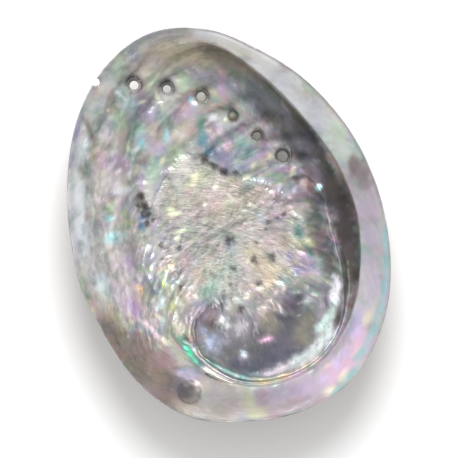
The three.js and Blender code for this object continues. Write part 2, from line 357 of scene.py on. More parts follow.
# %% [markdown]
# ## Relief
# Everything finer than the section is a push along the surface's own normal. Inside: ripples that
# follow the growth lines and rise between the pores, long folds that run down the bank, a slow
# swell on the outer lip, a funnel at each pore, the hollow with its curled rim, the rough scar,
# and small knobs. On the back: growth ridges, the rib that carries the pores, and the seam
# between the whorls. Each is weakened where the real shell is smooth.


# %% Ripples, folds and swell
def near_pores(reach, pores=(*PORES, SHUT_PORE)):
    return sum(bell(np.hypot(x - px, y - py), reach) for px, py, _ in pores)


def from_spiral(phase):
    """Signed distance from the nearest turn of a log spiral around the apex, and from the apex."""
    apart = np.maximum(np.hypot(x - APEX[0], y - APEX[1]), 1)
    widening = math.log(TURN_GROWTH)
    ahead = np.log(apart) / widening - np.arctan2(y - APEX[1], x - APEX[0]) / (2 * math.pi) - phase
    return (ahead - np.rint(ahead)) * widening * apart, apart


def wave(turns):
    return np.cos(2 * math.pi * turns)


# tens of degrees along the margin from the row of pores: above 0 on the outer lip's side
bank = (place - PORE_PLACE) / 10
crossing = np.exp(-np.where(bank > 0, bank / 1.3, bank / 0.5) ** 2)
gutter = ramp(section[:, 0] - keel_here, -1.2, 0.6) * ramp(around(THREAD, turn), 0, 0.6) * (1 - on_shelf)
rough_floor = (1 - on_shelf) * (1 - gutter) * ramp(bank, -1.4, -0.2)
bare = (1 - 0.9 * ramp(hollow_depth, -4, 1)) * (1 - 0.9 * on_scar)
bare *= ramp(from_margin, 1.5, 8) * rough_floor
ripple_height = (0.08 + 0.85 * crossing) * ramp(bank, -2.4, -0.4) * (1 - ramp(bank, 11, 14))
ripple_height *= (1 - 0.5 * ramp(age, 5.5, 9)) * bare * (0.75 + 0.5 * lumps)
ripple = -wave(age - 0.85 + 0.12 * lumps) + 0.35 * np.sin(4 * math.pi * age + 3 * lumps)
across = x * math.cos(FOLD_HEADING) + y * math.sin(FOLD_HEADING)
fold = wave((across + FOLD_START + 2.2 * lumps + 1.2 * knobs) / FOLD_STEP)
fold_height = 0.34 * ramp(bank, 0.2, 1.4) * (1 - ramp(bank, 3.5, 6.5)) * ramp(-across, -4, 6) * bare
swell = -wave(age / 2.1 + 0.4 * lumps) - 0.6 * wave(age / 3.7 + 0.3 + 0.3 * lumps)
swell_height = 0.16 * ramp(bank, 3, 7) * bare * (0.7 + 0.6 * lumps)
waves = ripple_height * ripple + fold_height * fold + swell_height * swell
print("waves, mm:", waves[is_inside].min().round(2), "to", waves[is_inside].max().round(2))

# %% Relief of the inside
floor_share = ramp(-scar_depth, -2, 4) * mix(0.25, 1, rough_floor) * ramp(from_margin, 4, 12)
inside_relief = waves + 0.26 * knobs * bare
inside_relief -= 1.25 * near_pores(3.0) - 0.35 * near_pores(5.2) + 0.9 * near_pores(2.0, [SHUT_PORE])
inside_relief += (0.34 + 0.26 * ramp(age, 6, 9)) * lumps * floor_share + 0.12 * fine * floor_share
inside_relief += on_scar * (0.35 + 0.16 * fine + 0.2 * ragged)
inside_relief -= 2.3 * ramp(hollow_depth, -0.6, 5)
inside_relief += (0.6 * lumps + 0.12 * knobs) * ramp(hollow_depth, 1, 5) * rough_floor
inside_relief += 0.75 * bell(from_curl, 0.8) * (1 - gutter)
inside_relief -= 0.5 * bell(from_curl - 1.6, 0.9) * (1 - in_hollow) * (1 - gutter)
inside_relief -= 1.0 * bell(from_groove, 1.5)
inside_relief += 1.3 * bell(np.hypot(x - BLISTER[0], y - BLISTER[1]), 3.6)
for knob_x, knob_y, reach, rise in KNOBS:
    inside_relief += rise * bell(np.hypot(x - knob_x, y - knob_y), reach)
inside_relief -= 0.85 * (1 - ramp(from_pit, 3.7, 4.6)) * (1 + 0.35 * fine)
inside_relief *= 1 - 0.85 * gutter * (1 - ramp(lip_here - keel_here, 3, 7))
inside_relief += on_shelf * (0.14 * lumps + 0.05 * fine)
inside_relief -= 1.2 * bell(np.hypot(x - RIM_DENT[0], y - RIM_DENT[1]), 2.2)
print("inside, mm:", inside_relief.min().round(2), "to", inside_relief.max().round(2))

# %% Relief of the back
RIB_PHASE, SEAM_PHASE = 1.47, 1.72
rib, apart = from_spiral(RIB_PHASE)
seam, _ = from_spiral(SEAM_PHASE)
cords = wave(rib / np.maximum(0.075 * apart, 1.6))
back_relief = 1.6 * np.minimum(1, apart / 60) * bell(rib, 4.2) + 1.1 * near_pores(3.8)
back_relief += 2.6 * bell(apart, 17) - 1.6 * bell(seam, 1.3 + 0.13 * apart) * bell(apart, 34)
ridges = 0.38 * np.cos(math.pi * age + 2 * lumps) + 0.16 * cords + 0.25 * lumps
back_relief += ridges * ramp(from_margin, 0, 6)
relief = np.where(is_inside, inside_relief, back_relief) * ramp(from_margin, 0.2, 1.6)
print("back, mm:", back_relief[~is_inside].min().round(2), "to", back_relief[~is_inside].max().round(2))

# %% [markdown]
# ## Forming the body
# The relief is added along the normals, with the few vertices round both poles kept upright. Then
# the whole is centred on the part's box and, if a bump passes it, drawn in by a hair.

# %% Forming
HUB_REACH = 2.5
INSIDE_BOX = 0.9995
for vert, place_mm in zip(blank.verts, shape):
    vert.co = place_mm
bmesh.ops.recalc_face_normals(blank, faces=blank.faces)
if blank.calc_volume(signed=True) < 0:
    bmesh.ops.reverse_faces(blank, faces=blank.faces)
blank.normal_update()
outward = np.array([v.normal for v in blank.verts])
by_hub = section[:, 0] < HUB_REACH
outward[by_hub & is_inside] = (0, 0, 1)
outward[by_hub & ~is_inside] = (0, 0, -1)
formed = shape + outward * relief[:, None]
formed[:, 2] = np.clip(formed[:, 2], 0, None)
shift = (formed.max(0) + formed.min(0)) / 2 - np.array((cad_low + cad_high) / 2) / MM
shift[2] = 0
box_size = np.array(cad_high - cad_low) / MM
fit = np.minimum(1, box_size / (formed.max(0) - formed.min(0)) * INSIDE_BOX)
formed = (formed - shift) * fit
for vert, place_mm in zip(blank.verts, formed):
    vert.co = Vector(place_mm) * MM
print("formed:", formed.min(0).round(2), formed.max(0).round(2), "fit", fit.round(4))

# %% [markdown]
# ## Paint
# The large patches of colour are dabs, as a maker would tint a cast: dark painted shade in the
# gutter, silver and lilac on the shelf, brown at the rim, plum in the hollow. Their places were
# read off the photo. A helper program turned them into whole shell millimetres and wrote most of
# the dab lines below. Each dab has a soft edge that the noise makes ragged. They are kept on the
# vertices as a colour and a cover. A second number, the painted highlight, says where a dab is a
# painted highlight that no shading may darken.

# %% A dab of paint
dabs = np.zeros((len(x), 4))
painted_highlights = np.zeros(len(x))
# area is the part of the shell that takes the paint: off the shelf, on it, or everywhere
off_shelf, everywhere = 1 - on_shelf, np.ones(len(x))
area = off_shelf


def dab(colour, strength, *spots, painted_highlight=0.0):
    """Tints the inside round each (x, y, reach), or (x, y, reach, stretch, bearing in degrees).

    It takes only where area is 1. The last argument says how far the tint is a painted highlight
    that also shines through the shading.
    """
    colour = np.array([(c / 255) ** 2.2 for c in bytes.fromhex(colour)])
    for spot_x, spot_y, reach, *stretched in spots:
        stretch, bearing = stretched or (1, 0)
        run, rise = math.cos(math.radians(bearing)), math.sin(math.radians(bearing))
        ahead = ((x - spot_x) * run + (y - spot_y) * rise) / stretch
        aside = (y - spot_y) * run - (x - spot_x) * rise
        wobble = 1 + 0.22 * lumps + 0.3 * fine
        cover = strength * area * is_inside * np.exp(-(np.hypot(ahead, aside) / (reach * wobble)) ** 3)
        under = dabs[:, 3] * (1 - cover)
        dabs[:, :3] = mix(dabs[:, :3], colour, (cover / np.maximum(cover + under, 1e-6))[:, None])
        dabs[:, 3] = cover + under
        painted_highlights[:] = mix(painted_highlights, painted_highlight, cover)


def painted(what):
    cover = dabs[:, 3].sum() / is_inside.sum()
    print("painted", what + "; paint covers", round(float(cover), 3), "of the inside")


# %% The wall above the pores
# long olive, lilac and slate bands, with painted shade that is darkest under the shelf
dab("c2bab0", 0.8, (-3, 70, 9), (6, 69, 9), (-12, 69, 7), (14, 67, 7))
dab("8f9bb4", 0.8, (-9, 72, 2.6))
dab("cabd9a", 0.75, (8, 66, 4, 2.5, -26), (15, 61, 4, 2.2, -46))
dab("988878", 0.8, (23, 59, 4, 2.4, -56), (19, 63, 3, 2, -51))
dab("6f7c60", 0.8, (25, 51, 2.6, 3, -51), (32, 40, 2.2, 3, -71))
dab("9a8ca6", 0.75, (21, 49, 3, 2.4, -46), (13, 55, 4, 2, -36))
dab("565a66", 0.9, (27, 43, 3.6, 1.8, -56), (30, 38, 4.5, 1.8, -61))
dab("3b3a42", 0.92, (31, 34, 4, 1.8, -63), (35, 30, 4, 1.6, -63))
dab("27262d", 0.93, (36, 24, 5, 2, -66), (37, 17, 5, 1.8, -76), (39, 6, 4.5, 1.8, -86),
    (39, -2, 4, 1.6, -91))
dab("33322a", 0.9, (40, 27, 1.8, 3, -73), (43, 8, 1.8, 3, -83))
dab("33251f", 0.94, (42, -1, 4, 2.4, -93), (42, -14, 4, 2.4, -103), (39, -26, 4, 2.4, -109),
    (34, -36, 3.6, 2.2, -121), (27, -46, 2.6, 2, -136))
dab("8a7a68", 0.85, (22, 62, 3, 3.4, -45), (29, 54, 3, 3.4, -53))
dab("58543f", 0.92, (34, 44, 2.6, 3.4, -63), (39, 35, 2.6, 3, -69), (41, 27, 2.4, 2.6, -75))
dab("5f6672", 0.88, (30, 44, 2.2, 3.4, -57), (35, 34, 2.2, 3, -67), (37, 22, 2, 3, -75))
dab("3a3428", 0.93, (42, 21, 2.2, 2.6, -77), (43, 11, 2.2, 2.8, -83), (43, 1, 2, 2.8, -89))
dab("726a78", 0.85, (39, 18, 1.8, 3, -79), (39, 7, 1.8, 3, -87), (38, 23, 1.6, 2.6, -71))
dab("1c1610", 0.95, (42, 20, 1.1, 2.2, -79))
painted("the wall")

# %% The shelf
# silver above, a brown stain with a ragged top, then lilac and pink round the spire end
area = on_shelf
dab("eef0ef", 0.9, (26, 62, 5), (34, 51, 6), (39, 40, 6), (41, 32, 5))
dab("efe6c8", 0.8, (29, 60, 2, 3, -51), (24, 65, 2, 2.5, -41))
dab("dcdce8", 0.85, (38, 44, 3.4, 2.4, -69), (46, 26, 4, 2, -76))
dab("dfe9e2", 0.85, (50, 19, 4.5, 1.6, -83), (51, 11, 4))
dab("c4dcc0", 0.8, (52, 18, 2.2, 1.8, -86))
dab("84737a", 0.95, (54, 0, 3.9, 1.7, -85))
dab("6e5c62", 0.8, (52, 4, 1.5, 1.8, -91))
dab("bfb2c8", 0.85, (50, -11, 5.5), (48, -21, 5.5), (45, -31, 5))
dab("cfc6d8", 0.8, (42, -40, 5, 1.5, -116), (37, -47, 4.5))
dab("f2e2cc", 0.8, (37, -49, 1.8, 1.8, -131))
dab("c6bae6", 0.85, (33, -51, 3, 1.8, -139))
dab("eebfdf", 0.85, (31, -57, 3.6, 1.6, -141), (25, -62, 4, 1.6, -153), (17, -65, 3.6, 1.6, -163))
dab("c8b2d4", 0.85, (9, -66, 3.6, 1.6, -176), (3, -66, 3))
# pink and lilac glints, partly painted highlight
dab("d6c2ec", 0.8, (32, -53, 1.6, 2, -139), (20, -62, 1.4, 2.4, -81), (14, -65, 1.2, 2, -163), painted_highlight=0.3)
dab("f8d8d6", 0.8, (22, -65, 1.2, 2, -161), (29, -60, 1.2, 2, -146), (17, -61, 1, 2, -163), painted_highlight=0.3)
dab("f6ead0", 0.85, (21, -67, 1.2, 2.4, -159), (14, -70, 1.5, 2, -166), (37, -50, 1.6, 1.8, -133))
dab("9f97b4", 0.8, (29, -51, 1.8, 2.6, -139), (21, -56, 1.8, 2.4, -155), (13, -59, 1.6, 2, -166))
dab("dcc8f6", 0.75, (24, -59, 2, 2, -150))
dab("a79ab4", 0.8, (-5, -64, 4.5, 1.6, -191), (2, -64, 3.4))
dab("8d7a88", 0.85, (-10, -63, 3.2, 1.4, -101))
dab("a08a98", 0.85, (1, -70, 2.6, 2.4, -9), (-8, -70, 2.2, 2.2, -19), (9, -71, 2, 2, 1))
dab("bdc09a", 0.85, (-15, -63, 2.4, 1.8, 79), (-14, -68, 2, 2, -186))
dab("8ec0c6", 0.85, (54, -24, 1.3, 3.4, -107), (51, -33, 1.4, 3.4, -113),
    (47, -41, 1.4, 3.2, -119), (43, -48, 1.5, 3, -129), (37, -55, 1.6, 3, -139),
    (30, -61, 1.7, 2.8, -149), (24, -67, 1.6, 2.6, -156), (17, -71, 1.4, 2.4, -161))
dab("7c6a70", 0.85, (53, 7, 1, 1.8, 64), (54, 5, 1, 1.8, 79), (56, 5, 0.9, 1.8, 59), (56, 1, 1, 2, -91))
painted("the shelf")

# %% The rim below the spire and on the left
# warm browns, olive and clay
area = everywhere
dab("e6e6e2", 0.85, (27, 63, 2.2, 2.4, -43), (32, 58, 2, 2.4, -51), (36, 52, 1.8, 2.2, -59))
dab("eef1f2", 0.9, (20, 69, 2.6, 2.4, -30), (24, 67, 2.2, 2, -38))
dab("958c8a", 0.75, (-24, -60, 6, 1.5, 159), (-31, -55, 5))
dab("b7b0a4", 0.7, (-19, -55, 3, 2, 154), (-26, -49, 3))
dab("7a655c", 0.92, (-50, -33, 5.5, 1.7, -76), (-46, -43, 5, 1.6, -66), (-52, -24, 5, 1.5, -81),
    (-47, -36, 4), (-42, -51, 4, 1.8, -46))
dab("7f6d64", 0.8, (-41, -50, 4), (-53, -17, 4, 1.6, -81))
dab("a8a88a", 0.75, (-50, -15, 3, 1.8, -81))
dab("b4a69e", 0.6, (-53, -4, 4, 1.6, -86))
dab("6f5c56", 0.92, (-44, -32, 4.5, 2, -69), (-41, -41, 4.5, 1.8, -65), (-38, -47, 3.4, 1.6, -51))
dab("8c7474", 0.85, (-38, -38, 3, 2, -65))
dab("6a564e", 0.9, (-41, -43, 3.4, 1.6, -60))
dab("4a4650", 0.95, (-36, -51, 4.2))
dab("6c5a50", 0.9, (-53, -21, 3.4, 2, -83), (-51, -29, 3.4, 2, -79), (-49, -39, 3.4, 2, -69),
    (-44, -48, 3.4, 2, -59))
dab("8a7f76", 0.8, (-36, -57, 3.4, 2, -31), (-28, -62, 3, 2, -21))
painted("the rim")

# %% The outer lip
# pale, blue where it is thinnest, with brown stains running in from the edge
dab("d8e1e6", 0.85, (-50, 26, 5, 1.8, -109), (-53, 16, 5, 1.6, -103), (-47, 35, 4, 1.6, 69),
    (-40, 46, 4, 1.8, 54))
dab("ccd4d0", 0.8, (-33, 52, 4, 1.6, 49), (-27, 59, 4, 1.5, 39), (-19, 67, 5))
dab("c9c4c4", 0.7, (-52, 7, 5, 1.5, -96), (-38, 35, 6))
dab("85756a", 0.85, (-34, 53, 1.3, 3.2, -87), (-34, 48, 1, 2.6, -101), (-45, 27, 1.3, 3, -96),
    (-46, 21, 1.2, 2.6, -89))
dab("a99f98", 0.7, (-42, 39, 1.4, 2.5, -106), (-45, 9, 2, 3, -71))
painted("the outer lip")

# %% The bank below the pores
# green, lilac and rose
dab("cdc8c6", 0.55, (-41, 3, 6), (-47, -5, 5), (-31, 7, 5), (-30, -2, 4), (-42, 15, 5), (-39, -4, 5))
dab("b4cdb0", 0.8, (-16, 69, 2.6, 1.8, 69), (-7, 60, 2.4, 1.8, 59), (4, 56, 2.4, 1.8, 59))
dab("a9cfc4", 0.75, (-17, 56, 4), (-6, 46, 3, 2, 69), (-17, 47, 2.2, 2, 69))
dab("b8a8cc", 0.8, (-12, 51, 3, 1.4, -81), (-14, 38, 3), (-30, 38, 4), (-36, 29, 4))
dab("cbb0b2", 0.8, (-12, 42, 2.6, 2, 64), (-20, 35, 3), (-25, 45, 3, 1.8, 69))
dab("b9cfae", 0.75, (-19, 28, 3, 2, 59), (-22, 52, 2.4, 2, 69), (-7, 33, 3, 1.6, 49))
dab("dcd8cf", 0.7, (-31, 44, 5), (-45, 14, 6), (-33, 31, 6), (-2, 53, 6), (-41, 27, 6),
    (-3, 40, 4), (-6, 27, 4), (-22, 21, 4))
dab("8a9a92", 0.7, (-5, 43, 1.6, 2.6, 69), (10, 47, 2.4), (0, 32, 2, 2, 69))
dab("3f8ea4", 0.9, (4, 34, 2.2, 1.5, 69), (4, 29, 1.8))
dab("4aa08c", 0.85, (5, 39, 1.8, 1.8, 64))
dab("6e7aa0", 0.85, (8, 26, 3.2, 1.3, -41), (8, 21, 2))
dab("88b8b0", 0.8, (17, 28, 3), (18, 23, 2.4))
dab("6c4844", 0.8, (35, 3, 1.2, 1.8, -91), (31, 7, 1, 2, -81))
dab("8a7c84", 0.7, (29, 0, 4), (31, -7, 4), (31, 19, 2.4))
dab("4e4b4c", 0.85, (32, -11, 4, 1.8, -106), (32, -19, 4, 1.8, -109), (31, -27, 3, 1.8, -109),
    (34, -4, 3))
dab("2f7a74", 0.85, (26, -19, 1.4, 2.6, -83), (25, -11, 1.6, 2, -91))
dab("8c88b0", 0.75, (19, -18, 2.2), (20, -24, 2))
painted("the bank")

# %% Round the scar
# blue and slate patches
dab("6b4a3a", 0.9, (17, 37, 1.3))
dab("5a7484", 0.7, (0, -5, 1.7), (6, -15, 1.5), (12, -17, 1.6), (-11, -25, 1.4), (4, -24, 1.2),
    (-19, -1, 1.3))
dab("24648c", 0.95, (-29, 12, 1.5, 1.8, -91), (-27, 15, 1.2))
dab("8c86a8", 0.8, (-31, 0, 2.4, 1.6, 39), (-33, 4, 2))
dab("98a4b0", 0.7, (-1, -8, 2, 1.6, -61), (14, -1, 2.2, 2, -61), (-15, -8, 2))
dab("b8aa94", 0.4, (8, -16, 4, 1.8, -81), (4, 6, 5, 1.6, -51), (-6, 15, 4))
dab("a8a0a0", 0.7, (-17, -4, 3), (-8, -1, 4), (-2, -20, 4))
dab("8fb0a2", 0.5, (-16, -21, 3, 1.3, 9), (-12, -18, 2))
dab("94a8a4", 0.55, (-3, -14, 3), (1, -9, 2), (-8, -16, 2))
dab("b09a84", 0.55, (8, -19, 4, 1.6, -81), (8, -26, 3), (13, 8, 3, 1.5, 19), (18, -12, 2.4, 2, -81))
dab("c2a6a6", 0.5, (-19, -6, 2.6), (-8, 9, 4), (-1, 8, 3))
dab("a9b4a0", 0.5, (-2, 19, 3, 1.6, 29), (-10, 14, 3), (-4, -1, 3))
painted("the scar")

# %% Towards the groove
# rose, gold and green runs
dab("cfc6cc", 0.7, (-45, 1, 5, 1.5, -86), (-45, -10, 4, 1.5, -81))
dab("a894c0", 0.8, (-42, -16, 2, 2.4, -79), (-38, 1, 2.4))
dab("bcb8a0", 0.7, (-37, -14, 2.6), (-27, -18, 4, 1.6, -101))
dab("a79c9a", 0.7, (-25, -25, 4, 1.6, -101), (-20, -17, 4))
dab("3f8f7c", 0.9, (-30, -33, 1.6, 2.4, -79))
dab("6a9c90", 0.6, (-15, -19, 2.2, 1.6, 9))
dab("274a50", 0.9, (-28, -33, 1, 2.4, -76), (-27, -43, 1.1, 2.4, -61))
painted("the groove")

# %% The hollow of the spire
# slate and plum, a dark blister with painted shade on its far side, painted shade under the curl and a
# painted highlight along the rail
area = off_shelf
dab("4a4656", 0.9, (4, -44, 8, 1.6, -16), (13, -43, 5), (-4, -47, 6))
dab("524e5c", 0.85, (-7, -42, 8, 1.5, -11), (-16, -39, 6), (7, -43, 8, 1.3, 39), (15, -39, 6),
    (-5, -51, 6, 1.8, -16))
dab("8c8470", 0.8, (12, -46, 3.4), (16, -42, 3), (3, -38, 4))
dab("9a92a0", 0.75, (-15, -37, 4), (-8, -37, 3.4))
dab("4c4a66", 0.9, (2, -50, 3.6, 1.7, -11), (-4, -49, 3))
# gold streaks on the rail, partly a painted highlight
dab("cfb894", 0.85, (-8, -58, 1.2, 3, -16), (1, -59, 1.2, 2.6, 4), (9, -58, 1.2, 2.4, 17), painted_highlight=0.2)
dab("5f9a90", 0.85, (-18, -50, 1.4, 2.6, -36), (-22, -45, 1.4, 2.2, -56), (-14, -54, 1.2, 2, -29))
dab("3c4660", 0.9, (-9, -51, 2.6, 1.8, -36), (-14, -47, 2.4), (10, -52, 2.2))
dab("5f5068", 0.92, (13, -34, 4))
# painted shade on the blister's far side
dab("2c2a38", 0.92, (16, -34, 1.7, 1.7, 69), (8, -38, 1.6, 1.8, -31))
# painted shade under the curl
dab("4a4230", 0.9, (-17, -31, 2.4, 1.6, -21))
dab("b8c8f4", 0.85, (-20, -37, 1.6, 2.6, 49), (-21, -32, 1.4))
dab("b4d8dc", 0.85, (-9, -54, 1.4, 2.6, -31))
dab("15141c", 0.95, (-25, 22, 1.1, 1.8, 59), (-25, 18, 1.3, 1.6, 79), (-25, 15, 1, 1.6, 39),
    (-27, 12, 0.8, 2, 59))
dab("1e2838", 0.92, (4, 24, 1.2, 2.6, -39), (7, 20, 1.2, 2.2, -46), (2, 27, 1, 1.8, 39),
    (11, 18, 0.9, 2, -36))
painted("the hollow")

# %% Thin washes
# a few last tints over the bank, the scar and the groove, and painted shade in the gutter
dab("d6cccf", 0.6, (-34, 8, 4, 1.4, -80))
dab("86868e", 0.65, (-28, 35, 2.6))
dab("94a6aa", 0.6, (-25, 9, 2.2))
dab("5c8c94", 0.5, (2, 34, 2))
dab("7e7e82", 0.65, (16, -6, 3.4))
dab("1f7f86", 0.9, (-28, -41, 1.5, 2.4, -70))
dab("dccac6", 0.55, (-38, -20, 3, 1.4, -70))
dab("b8c2dc", 0.65, (-18, -38, 2.8, 1.4, 60))
# painted shade in the gutter
dab("232228", 0.9, (39, 24, 2.8, 1.8, -76))
dab("2a1d1a", 0.85, (42, -14, 3, 2.4, -103))
painted("the washes")

# %% Painted highlights
# painted highlights: white and pastel glints where the plates would catch the light
dab("e6e2f2", 0.55, (-40, 19, 3.2, 1.5, -81), painted_highlight=0.5)
dab("efdfe8", 0.7, (-41, 26, 2, 1.6, -71), (-41, 2, 2.6, 1.6, -81), painted_highlight=0.6)
dab("d4ecee", 0.7, (-40, 12, 2.6, 1.4, -21), (-50, -3, 3, 1.6, -81), painted_highlight=0.5)
dab("dfe6ee", 0.6, (-50, 15, 3, 2, -106), (-46, 29, 3, 2, 64), painted_highlight=0.4)
dab("f6f2ff", 0.96, (31, -35, 2, 1.8, 67), (28, -39, 2.4, 1.4, 54), painted_highlight=1)
dab("ffffff", 0.95, (30, -37, 1.1, 1.8, 59), (23, -44, 1.2, 1.6, 44), (16, -52, 1.3, 2.2, 24),
    (8, -55, 1.2, 2.2, 7), (32, -32, 0.8), painted_highlight=1)
dab("e4fff8", 0.96, (25, -43, 2.4, 1.6, 47), (21, -46, 2.4, 1.5, 34), (22, -49, 1.8, 1.8, 39), painted_highlight=1)
dab("f2feff", 0.97, (19, -51, 2.4, 2.2, 29), (13, -54, 2.6, 2.2, 19), (7, -55, 2.4, 2, 9), painted_highlight=1)
dab("fff2ff", 0.96, (1, -55, 2, 2.2, -1), (-4, -55, 1.6, 2.2, -13), painted_highlight=1)
dab("ffc8ec", 0.95, (-1, -43, 1.1, 2.2, -16), painted_highlight=1)
dab("e2eeff", 0.95, (-10, -45, 1.4), painted_highlight=1)
dab("ffffff", 0.95, (-13, -31, 1.4), (-12, -25, 0.8, 2.4, -6), (-12, -34, 0.8), painted_highlight=1)
dab("e4f6f6", 0.9, (-19, 62, 1, 2.6, -89), (-18, 59, 0.9, 1.8, -81), painted_highlight=0.9)
dab("f0f4de", 0.9, (-6, 54, 1, 3, -93), (-12, 55, 0.8, 2.6, -6), painted_highlight=0.9)
dab("9fdcec", 0.9, (5, 49, 0.9, 2.2, -91), (-8, 40, 0.9, 2.6, 69), (-18, 41, 1, 2.4, 49), painted_highlight=0.9)
dab("f4ecc8", 0.9, (-23, 41, 0.8, 3, 59), (-13, 32, 0.9, 2.6, 39), (-4, 22, 1.4, 2, 49), painted_highlight=0.9)
dab("f6f8ff", 0.95, (-31, 27, 1.5, 2.6, -6), (-26, 32, 1.2, 1.4, 39), (10, 40, 1.6, 1.4, -21),
    (-37, 48, 0.9, 2.2, 59), painted_highlight=1)
dab("f8e8ee", 0.9, (-39, 26, 1.4, 1.6, -61), (11, 35, 1.6), (-30, 34, 0.9, 2, 19),
    (-38, 43, 1, 1.6, 59), painted_highlight=0.9)
dab("b4e6e8", 0.9, (-41, 12, 1.8, 1.3, -1), (-39, 19, 1.6, 1.3, -21), (38, 2, 1, 1.2, -21), painted_highlight=0.9)
dab("e6f2cc", 0.9, (-16, 5, 1.1, 2.6, -11), (-16, 12, 0.9, 3, -13), (-17, 14, 0.8, 2, -11),
    (-18, 3, 1, 1.6, 19), painted_highlight=0.9)
dab("f8d0a8", 0.9, (-38, -10, 1.1, 2.2, -79), (-24, -6, 0.9, 1.6, 39), painted_highlight=0.9)
dab("e8f29a", 0.9, (-29, -11, 1, 2, 64), (-29, -20, 0.8, 2, 59), painted_highlight=0.9)
dab("e4fafa", 0.95, (-32, -17, 1.2, 1.8, 59), (-34, -19, 1, 1.6, 39), (-34, -24, 1, 1.8, -81), painted_highlight=1)
dab("fde2ee", 0.95, (-40, -23, 1.1, 2.6, -66), (-38, -28, 1.1, 2.4, -66), painted_highlight=1)
dab("f8f0d8", 0.92, (-36, -31, 1.1, 2, -61), (-35, -22, 0.9, 1.6, -71), painted_highlight=0.9)
dab("4fe6ac", 0.92, (-29, -38, 1, 2.8, -81), (-28, -42, 0.8, 2, -76), painted_highlight=0.9)
dab("fbe8e4", 0.92, (12, -29, 0.9, 1.8, 59), (9, -29, 0.9, 2, -1), (5, -31, 0.8, 2, 19), painted_highlight=0.9)
dab("f0e8cc", 0.9, (25, 19, 1.1, 1.4, 39), (18, 18, 0.9, 2, 49), (31, 11, 1.2, 1.6, 49),
    (14, 15, 0.8, 2, 9), painted_highlight=0.9)
dab("ece8ff", 0.9, (24, 7, 1.1, 1.4, 39), (19, 12, 1, 1.4, -21), (31, -31, 1, 1.2, 69),
    (29, 4, 0.9, 1.6, 39), painted_highlight=0.9)
dab("f6f2e2", 0.9, (6, 10, 0.8, 2.6, -61), (12, 5, 0.7, 2.6, -61), (2, 16, 0.8, 2.2, 9),
    (-4, 11, 0.7, 2.4, 19), painted_highlight=0.8)
dab("fbf6e6", 0.9, (-2, -27, 0.8, 1.6, -1), (-10, -28, 1, 1.4, -21), (4, -26, 0.7, 1.8, 19),
    (20, -31, 0.7, 1.4, 39), painted_highlight=0.8)

painted("the lights")

# %% [markdown]
# ## Masks and paths on the vertices
# The material asks one question at a time of each vertex: is it on the back, on the scar, in the
# hollow, how dark is it? It also needs three ways of laying streaks: along the growth lines, round
# the hub for the wall, and out from the root of the muscle for the scar's bristles.

# %% Dark places: painted shade and dark marks
# painted shade in the gutter behind the keel, under the shelf
gap = ramp(section[:, 0] - keel_here, 0.4, 2.2) * (1 - ramp(section[:, 0] - lip_here, -0.3, 0.5))
painted_gutter_shade = 0.95 * gap * ramp(around(THREAD, turn), 0.4, 0.95) * (1 - on_shelf)
painted_gutter_shade *= ramp(lip_here - keel_here, 1.8, 5)
dark = painted_gutter_shade * (0.72 + 0.3 * lumps)
# painted shade in each pore's funnel, set off to one side; the shut pore's dimple is darkened too
for px, py, radius in PORES:
    off = np.hypot(x - px - 0.55, y - py - 0.2)
    dark = np.maximum(dark, 0.93 * bell(np.maximum(off - radius - 0.3, 0), 1.05))
shut_off = np.hypot(x - SHUT_PORE[0], y - SHUT_PORE[1]) - SHUT_PORE[2]
dark = np.maximum(dark, 0.92 * bell(shut_off, 0.75))
for mark_x, mark_y, reach in MARKS:
    off = np.hypot(x - mark_x, y - mark_y) / reach + 0.55 * fine + 0.5 * tiny
    dark = np.maximum(dark, (0.8 + 0.3 * tiny) * (1 - ramp(off, 0.35, 1.15)))
dark = np.maximum(dark, 0.55 * (1 - ramp(np.abs(from_pit - 4.0), 0.1, 0.6)) * is_inside)
dark = np.maximum(dark, (0.45 + 0.35 * fine) * (1 - ramp(from_pit, 2.6, 4.4)))
# painted shade in the crease under the upper end of the curl
dark = np.maximum(dark, 0.75 * bell(from_curl - 0.5 - 0.4 * fine, 0.45) * ramp(y, -50, -42))
dark = np.clip(dark, 0, 1) * is_inside * (1 - 0.85 * painted_highlights)
print("dark:", int((dark > 0.5).sum()), "vertices")

# %% Vertex layers
CRUST_EDGE = 38.4
SWEEP_ROUND, SWEEP_OUT = 2.4, 0.26
FIBRE_SPREAD = 40
beyond_keel = ramp(section[:, 0] - keel_here, -1.5, 2.5) * ramp(shelf_here, 0, 0.6)
below_rim = ramp(CRUST_EDGE + 0.6 * ragged - section[:, 1], 1.2, 2.4)
dark_paint = 1 - ramp(dabs[:, :3].mean(1), 0.1, 0.36)
layers = {
    "back": (1 - is_inside) * below_rim,
    "scar": on_scar * is_inside,
    "shelf": on_shelf * is_inside,
    "hollow": ramp(hollow_depth, -1, 4) * is_inside,
    "wall": np.maximum(ramp(-bank, 0.3, 1.6), beyond_keel) * (1 - on_shelf) * is_inside,
    "matt": dabs[:, 3] * dark_paint * (1 - painted_highlights) * is_inside,
    "dark": dark,
    "painted_crest_light": np.clip(0.5 + 0.6 * waves + 0.22 * lumps + 0.2 * knobs, 0, 1) * is_inside,
    "painted_highlight": painted_highlights,
    "worn": (1 - is_inside) * ramp(bell(apart, 24) + 0.25 * fine + 0.2 * lumps, 0.42, 0.75),
}
none = np.zeros(len(x))
from_fibre = np.array((x - FIBRE_CENTRE[0], y - FIBRE_CENTRE[1]))
paths = {
    "flow": (age, place, none),
    "sweep": (SWEEP_ROUND * np.cos(angle), SWEEP_ROUND * np.sin(angle), SWEEP_OUT * row),
    "fibre": (np.hypot(*from_fibre), np.arctan2(*from_fibre[::-1]) * FIBRE_SPREAD, none),
}
for name, values in layers.items():
    layer = blank.verts.layers.float.new(name)
    for vert, value in zip(blank.verts, values):
        vert[layer] = float(value)
for name, values in paths.items():
    layer = blank.verts.layers.float_vector.new(name)
    for vert, value in zip(blank.verts, zip(*values)):
        vert[layer] = value
layer = blank.verts.layers.float_color.new("tint")
